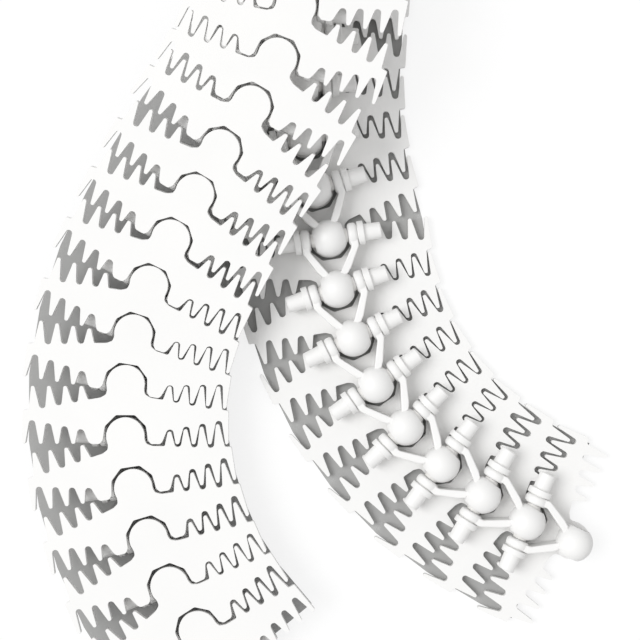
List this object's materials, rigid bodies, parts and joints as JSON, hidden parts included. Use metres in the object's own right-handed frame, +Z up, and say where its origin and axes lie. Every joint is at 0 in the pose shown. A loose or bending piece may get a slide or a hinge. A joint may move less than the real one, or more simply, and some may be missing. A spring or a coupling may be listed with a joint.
{
  "type": "conveyor chain",
  "caption": "White plastic flat top flexible conveyor chain, folded back on itself, with comb-toothed links, ball heads and hinge pins.",
  "frame": {"origin": "middle of the folded chain's footprint, on the table it lies on", "axes": "+Z up from the table, +Y towards the turn that joins the two limbs, +X to the right in plan"},
  "size_m": [0.4014, 0.5682, 0.0938],
  "materials": {
    "link_acetal": "satin moulded",
    "pin_steel": "ground"
  },
  "bodies": {
    "link_01": {"link_01": "link_acetal"},
    "link_02": {"link_02": "link_acetal"},
    "link_03": {"link_03": "link_acetal"},
    "link_04": {"link_04": "link_acetal"},
    "link_05": {"link_05": "link_acetal"},
    "link_06": {"link_06": "link_acetal"},
    "link_07": {"link_07": "link_acetal"},
    "link_08": {"link_08": "link_acetal"},
    "link_09": {"link_09": "link_acetal"},
    "link_10": {"link_10": "link_acetal"},
    "link_11": {"link_11": "link_acetal"},
    "link_12": {"link_12": "link_acetal"},
    "link_13": {"link_13": "link_acetal"},
    "link_14": {"link_14": "link_acetal"},
    "link_15": {"link_15": "link_acetal"},
    "link_16": {"link_16": "link_acetal"},
    "link_17": {"link_17": "link_acetal"},
    "link_18": {"link_18": "link_acetal"},
    "link_19": {"link_19": "link_acetal"},
    "link_20": {"link_20": "link_acetal"},
    "link_21": {"link_21": "link_acetal"},
    "link_22": {"link_22": "link_acetal"},
    "link_23": {"link_23": "link_acetal"},
    "link_24": {"link_24": "link_acetal"},
    "link_25": {"link_25": "link_acetal"},
    "link_26": {"link_26": "link_acetal"},
    "link_27": {"link_27": "link_acetal"},
    "link_28": {"link_28": "link_acetal"},
    "link_29": {"link_29": "link_acetal"},
    "link_30": {"link_30": "link_acetal"},
    "pivot_01": {"pivot_01": "pin_steel"},
    "pivot_02": {"pivot_02": "pin_steel"},
    "pivot_03": {"pivot_03": "pin_steel"},
    "pivot_04": {"pivot_04": "pin_steel"},
    "pivot_05": {"pivot_05": "pin_steel"},
    "pivot_06": {"pivot_06": "pin_steel"},
    "pivot_07": {"pivot_07": "pin_steel"},
    "pivot_08": {"pivot_08": "pin_steel"},
    "pivot_09": {"pivot_09": "pin_steel"},
    "pivot_10": {"pivot_10": "pin_steel"},
    "pivot_11": {"pivot_11": "pin_steel"},
    "pivot_12": {"pivot_12": "pin_steel"},
    "pivot_13": {"pivot_13": "pin_steel"},
    "pivot_14": {"pivot_14": "pin_steel"},
    "pivot_15": {"pivot_15": "pin_steel"},
    "pivot_16": {"pivot_16": "pin_steel"},
    "pivot_17": {"pivot_17": "pin_steel"},
    "pivot_18": {"pivot_18": "pin_steel"},
    "pivot_19": {"pivot_19": "pin_steel"},
    "pivot_20": {"pivot_20": "pin_steel"},
    "pivot_21": {"pivot_21": "pin_steel"},
    "pivot_22": {"pivot_22": "pin_steel"},
    "pivot_23": {"pivot_23": "pin_steel"},
    "pivot_24": {"pivot_24": "pin_steel"},
    "pivot_25": {"pivot_25": "pin_steel"},
    "pivot_26": {"pivot_26": "pin_steel"},
    "pivot_27": {"pivot_27": "pin_steel"},
    "pivot_28": {"pivot_28": "pin_steel"},
    "pivot_29": {"pivot_29": "pin_steel"}
  },
  "joints": [
    {"name": "swivel_01", "type": "hinge", "parent": "pivot_01", "child": "link_01", "pos_m": [-0.08142, -0.2087, 0.01317], "axis": [0, 0.0002, -1], "range_deg": [-2, 16]},
    {"name": "hinge_01", "type": "hinge", "parent": "link_02", "child": "pivot_01", "pos_m": [-0.08142, -0.2087, 0.01317], "axis": [0.8406, 0.5416, 0.0001], "range_deg": [-3, 75]},
    {"name": "swivel_02", "type": "hinge", "parent": "pivot_02", "child": "link_02", "pos_m": [-0.10065, -0.17886, 0.01318], "axis": [0, -0.0002, 1], "range_deg": [-18, 0]},
    {"name": "hinge_02", "type": "hinge", "parent": "link_03", "child": "pivot_02", "pos_m": [-0.10065, -0.17886, 0.01318], "axis": [0.915, 0.4035, 0.0001], "range_deg": [-3, 75]},
    {"name": "swivel_03", "type": "hinge", "parent": "pivot_03", "child": "link_03", "pos_m": [-0.11497, -0.14638, 0.01319], "axis": [0, 0.0002, -1], "range_deg": [-2, 16]},
    {"name": "hinge_03", "type": "hinge", "parent": "link_04", "child": "pivot_03", "pos_m": [-0.11497, -0.14638, 0.01319], "axis": [0.9573, 0.2889, 0.0001], "range_deg": [-3, 75]},
    {"name": "swivel_04", "type": "hinge", "parent": "pivot_04", "child": "link_04", "pos_m": [-0.12523, -0.11239, 0.01319], "axis": [0, -0.0002, 1], "range_deg": [-17, 1]},
    {"name": "hinge_04", "type": "hinge", "parent": "link_05", "child": "pivot_04", "pos_m": [-0.12523, -0.11239, 0.01319], "axis": [-0.9882, -0.1529, 0], "range_deg": [-75, 3]},
    {"name": "swivel_05", "type": "hinge", "parent": "pivot_05", "child": "link_05", "pos_m": [-0.13066, -0.07731, 0.0132], "axis": [0, 0.0002, -1], "range_deg": [0, 18]},
    {"name": "hinge_05", "type": "hinge", "parent": "link_06", "child": "pivot_05", "pos_m": [-0.13066, -0.07731, 0.0132], "axis": [-1, 0.0036, 0], "range_deg": [-75, 3]},
    {"name": "swivel_06", "type": "hinge", "parent": "pivot_06", "child": "link_06", "pos_m": [-0.13053, -0.04181, 0.01321], "axis": [0, -0.0002, 1], "range_deg": [-18, 0]},
    {"name": "hinge_06", "type": "hinge", "parent": "link_07", "child": "pivot_06", "pos_m": [-0.13053, -0.04181, 0.01321], "axis": [0.9871, -0.16, 0], "range_deg": [-0.13, 77.87]},
    {"name": "swivel_07", "type": "hinge", "parent": "pivot_07", "child": "link_07", "pos_m": [-0.12486, -0.00681, 0.01499], "axis": [-0.008, -0.0496, 0.9987], "range_deg": [-18, 0]},
    {"name": "hinge_07", "type": "hinge", "parent": "link_08", "child": "pivot_07", "pos_m": [-0.12486, -0.00681, 0.01499], "axis": [0.95, -0.3122, -0.0079], "range_deg": [-0.13, 77.87]},
    {"name": "swivel_08", "type": "hinge", "parent": "pivot_08", "child": "link_08", "pos_m": [-0.1138, 0.02674, 0.01852], "axis": [0.0236, 0.0971, -0.995], "range_deg": [-1, 17]},
    {"name": "hinge_08", "type": "hinge", "parent": "link_09", "child": "pivot_08", "pos_m": [-0.1138, 0.02674, 0.01852], "axis": [-0.8974, 0.4407, 0.0217], "range_deg": [-72.87, 0.13]},
    {"name": "swivel_09", "type": "hinge", "parent": "pivot_09", "child": "link_09", "pos_m": [-0.09822, 0.0582, 0.02375], "axis": [0.0457, 0.1416, -0.9889], "range_deg": [-6, 12]},
    {"name": "hinge_09", "type": "hinge", "parent": "link_10", "child": "pivot_09", "pos_m": [-0.09822, 0.0582, 0.02375], "axis": [-0.8732, 0.4865, 0.0293], "range_deg": [-23.87, 0.13]},
    {"name": "swivel_10", "type": "hinge", "parent": "pivot_10", "child": "link_10", "pos_m": [-0.0811, 0.08852, 0.03068], "axis": [0.0699, 0.1846, -0.9803], "range_deg": [-7, 11]},
    {"name": "hinge_10", "type": "hinge", "parent": "link_11", "child": "pivot_10", "pos_m": [-0.0811, 0.08852, 0.03068], "axis": [0.8558, -0.516, -0.0361], "range_deg": [-0.13, 13.87]},
    {"name": "swivel_11", "type": "hinge", "parent": "pivot_11", "child": "link_11", "pos_m": [-0.06305, 0.11785, 0.0393], "axis": [0.0955, 0.2263, -0.9694], "range_deg": [-4, 14]},
    {"name": "hinge_11", "type": "hinge", "parent": "link_12", "child": "pivot_11", "pos_m": [-0.06305, 0.11785, 0.0393], "axis": [0.8083, -0.5861, -0.0572], "range_deg": [-2.63, 6.37]},
    {"name": "swivel_12", "type": "hinge", "parent": "pivot_12", "child": "link_12", "pos_m": [-0.04245, 0.14542, 0.048], "axis": [0.0992, 0.2313, -0.9678], "range_deg": [-15, 3]},
    {"name": "hinge_12", "type": "hinge", "parent": "link_13", "child": "pivot_12", "pos_m": [-0.04245, 0.14542, 0.048], "axis": [0.8645, -0.5017, -0.0312], "range_deg": [-2.63, 5.37]},
    {"name": "swivel_13", "type": "hinge", "parent": "pivot_13", "child": "link_13", "pos_m": [-0.02498, 0.17495, 0.05709], "axis": [0.1024, 0.2366, -0.9662], "range_deg": [-18, 0]},
    {"name": "hinge_13", "type": "hinge", "parent": "link_14", "child": "pivot_13", "pos_m": [-0.02498, 0.17495, 0.05709], "axis": [-0.9308, 0.3653, -0.0092], "range_deg": [-6.37, 2.63]},
    {"name": "swivel_14", "type": "hinge", "parent": "pivot_14", "child": "link_14", "pos_m": [-0.01255, 0.20686, 0.06646], "axis": [0.1047, 0.2425, -0.9645], "range_deg": [-13, 0]},
    {"name": "hinge_14", "type": "hinge", "parent": "link_15", "child": "pivot_14", "pos_m": [-0.01255, 0.20686, 0.06646], "axis": [-0.9741, 0.2202, -0.0504], "range_deg": [-0.37, 2.63]},
    {"name": "swivel_15", "type": "hinge", "parent": "pivot_15", "child": "link_15", "pos_m": [-0.00547, 0.24035, 0.07588], "axis": [0.106, 0.2486, -0.9628], "range_deg": [-8.55, 9.45]},
    {"name": "hinge_15", "type": "hinge", "parent": "link_16", "child": "pivot_15", "pos_m": [-0.00547, 0.24035, 0.07588], "axis": [0.9725, -0.2276, 0.0483], "range_deg": [-27, 0]},
    {"name": "swivel_16", "type": "hinge", "parent": "pivot_16", "child": "link_16", "pos_m": [0.00007, 0.25752, 0.04531], "axis": [0.1727, 0.8451, 0.506], "range_deg": [0, 14]},
    {"name": "hinge_16", "type": "hinge", "parent": "link_17", "child": "pivot_16", "pos_m": [0.00007, 0.25752, 0.04531], "axis": [-0.985, 0.1492, 0.087], "range_deg": [0, 78]},
    {"name": "swivel_17", "type": "hinge", "parent": "pivot_17", "child": "link_17", "pos_m": [-0.00583, 0.23326, 0.02008], "axis": [-0.0465, -0.7146, 0.6979], "range_deg": [-2.4, 8.6]},
    {"name": "hinge_17", "type": "hinge", "parent": "link_18", "child": "pivot_17", "pos_m": [-0.00583, 0.23326, 0.02008], "axis": [0.9976, -0.0696, -0.0048], "range_deg": [-42.7, 2.3]},
    {"name": "swivel_18", "type": "hinge", "parent": "pivot_18", "child": "link_18", "pos_m": [-0.00831, 0.19804, 0.01634], "axis": [0.0026, 0.1053, -0.9944], "range_deg": [-10, 8]},
    {"name": "hinge_18", "type": "hinge", "parent": "link_19", "child": "pivot_18", "pos_m": [-0.00831, 0.19804, 0.01634], "axis": [-0.9986, 0.0523, 0.0029], "range_deg": [-4.55, 7.45]},
    {"name": "swivel_19", "type": "hinge", "parent": "pivot_19", "child": "link_19", "pos_m": [-0.01017, 0.1626, 0.01536], "axis": [0.0015, -0.0279, 0.9996], "range_deg": [-3, 15]},
    {"name": "hinge_19", "type": "hinge", "parent": "link_20", "child": "pivot_19", "pos_m": [-0.01017, 0.1626, 0.01536], "axis": [0.9986, 0.0523, 0], "range_deg": [-4.6, 4.4]},
    {"name": "swivel_20", "type": "hinge", "parent": "link_20", "child": "pivot_20", "pos_m": [-0.00831, 0.12715, 0.01536], "axis": [0, 0, 1], "range_deg": [-16, 2]},
    {"name": "hinge_20", "type": "hinge", "parent": "pivot_20", "child": "link_21", "pos_m": [-0.00831, 0.12715, 0.01536], "axis": [0.9848, 0.1736, 0], "range_deg": [-6, 3]},
    {"name": "swivel_21", "type": "hinge", "parent": "link_21", "child": "pivot_21", "pos_m": [-0.00214, 0.09219, 0.01536], "axis": [0, 0, 1], "range_deg": [-15, 3]},
    {"name": "hinge_21", "type": "hinge", "parent": "pivot_21", "child": "link_22", "pos_m": [-0.00214, 0.09219, 0.01536], "axis": [0.9613, 0.2756, 0], "range_deg": [-10, 3]},
    {"name": "swivel_22", "type": "hinge", "parent": "link_22", "child": "pivot_22", "pos_m": [0.00764, 0.05807, 0.01536], "axis": [0, 0, -1], "range_deg": [-16, 2]},
    {"name": "hinge_22", "type": "hinge", "parent": "pivot_22", "child": "link_23", "pos_m": [0.00764, 0.05807, 0.01536], "axis": [0.9877, 0.1564, 0], "range_deg": [-16, 3]},
    {"name": "swivel_23", "type": "hinge", "parent": "link_23", "child": "pivot_23", "pos_m": [0.01319, 0.023, 0.01536], "axis": [0, 0, 1], "range_deg": [-18, 0]},
    {"name": "hinge_23", "type": "hinge", "parent": "pivot_23", "child": "link_24", "pos_m": [0.01319, 0.023, 0.01536], "axis": [-0.9511, -0.309, 0], "range_deg": [-3, 66]},
    {"name": "swivel_24", "type": "hinge", "parent": "link_24", "child": "pivot_24", "pos_m": [0.02416, -0.01076, 0.01536], "axis": [0, 0, 1], "range_deg": [-17, 1]},
    {"name": "hinge_24", "type": "hinge", "parent": "pivot_24", "child": "link_25", "pos_m": [0.02416, -0.01076, 0.01536], "axis": [-0.8988, -0.4384, 0], "range_deg": [-3, 75]},
    {"name": "swivel_25", "type": "hinge", "parent": "link_25", "child": "pivot_25", "pos_m": [0.03973, -0.04267, 0.01536], "axis": [0, 0, 1], "range_deg": [-18, 0]},
    {"name": "hinge_25", "type": "hinge", "parent": "pivot_25", "child": "link_26", "pos_m": [0.03973, -0.04267, 0.01536], "axis": [0.8192, 0.5736, 0], "range_deg": [-75, 3]},
    {"name": "swivel_26", "type": "hinge", "parent": "link_26", "child": "pivot_26", "pos_m": [0.06009, -0.07175, 0.01536], "axis": [0, 0, -1], "range_deg": [0, 18]},
    {"name": "hinge_26", "type": "hinge", "parent": "pivot_26", "child": "link_27", "pos_m": [0.06009, -0.07175, 0.01536], "axis": [0.7193, 0.6947, 0], "range_deg": [-75, 3]},
    {"name": "swivel_27", "type": "hinge", "parent": "link_27", "child": "pivot_27", "pos_m": [0.08475, -0.09728, 0.01536], "axis": [0, 0, 1], "range_deg": [-18, 0]},
    {"name": "hinge_27", "type": "hinge", "parent": "pivot_27", "child": "link_28", "pos_m": [0.08475, -0.09728, 0.01536], "axis": [-0.6018, -0.7986, 0], "range_deg": [-3, 75]},
    {"name": "swivel_28", "type": "hinge", "parent": "link_28", "child": "pivot_28", "pos_m": [0.1131, -0.11865, 0.01536], "axis": [0, 0, -1], "range_deg": [-3, 15]},
    {"name": "hinge_28", "type": "hinge", "parent": "pivot_28", "child": "link_29", "pos_m": [0.1131, -0.11865, 0.01536], "axis": [0.515, 0.8572, 0], "range_deg": [-75, 3]},
    {"name": "swivel_29", "type": "hinge", "parent": "link_29", "child": "pivot_29", "pos_m": [0.14353, -0.13693, 0.01536], "axis": [0, 0, -1], "range_deg": [-2, 16]},
    {"name": "hinge_29", "type": "hinge", "parent": "pivot_29", "child": "link_30", "pos_m": [0.14353, -0.13693, 0.01536], "axis": [-0.4067, -0.9135, 0], "range_deg": [-3, 75]}
  ]
}
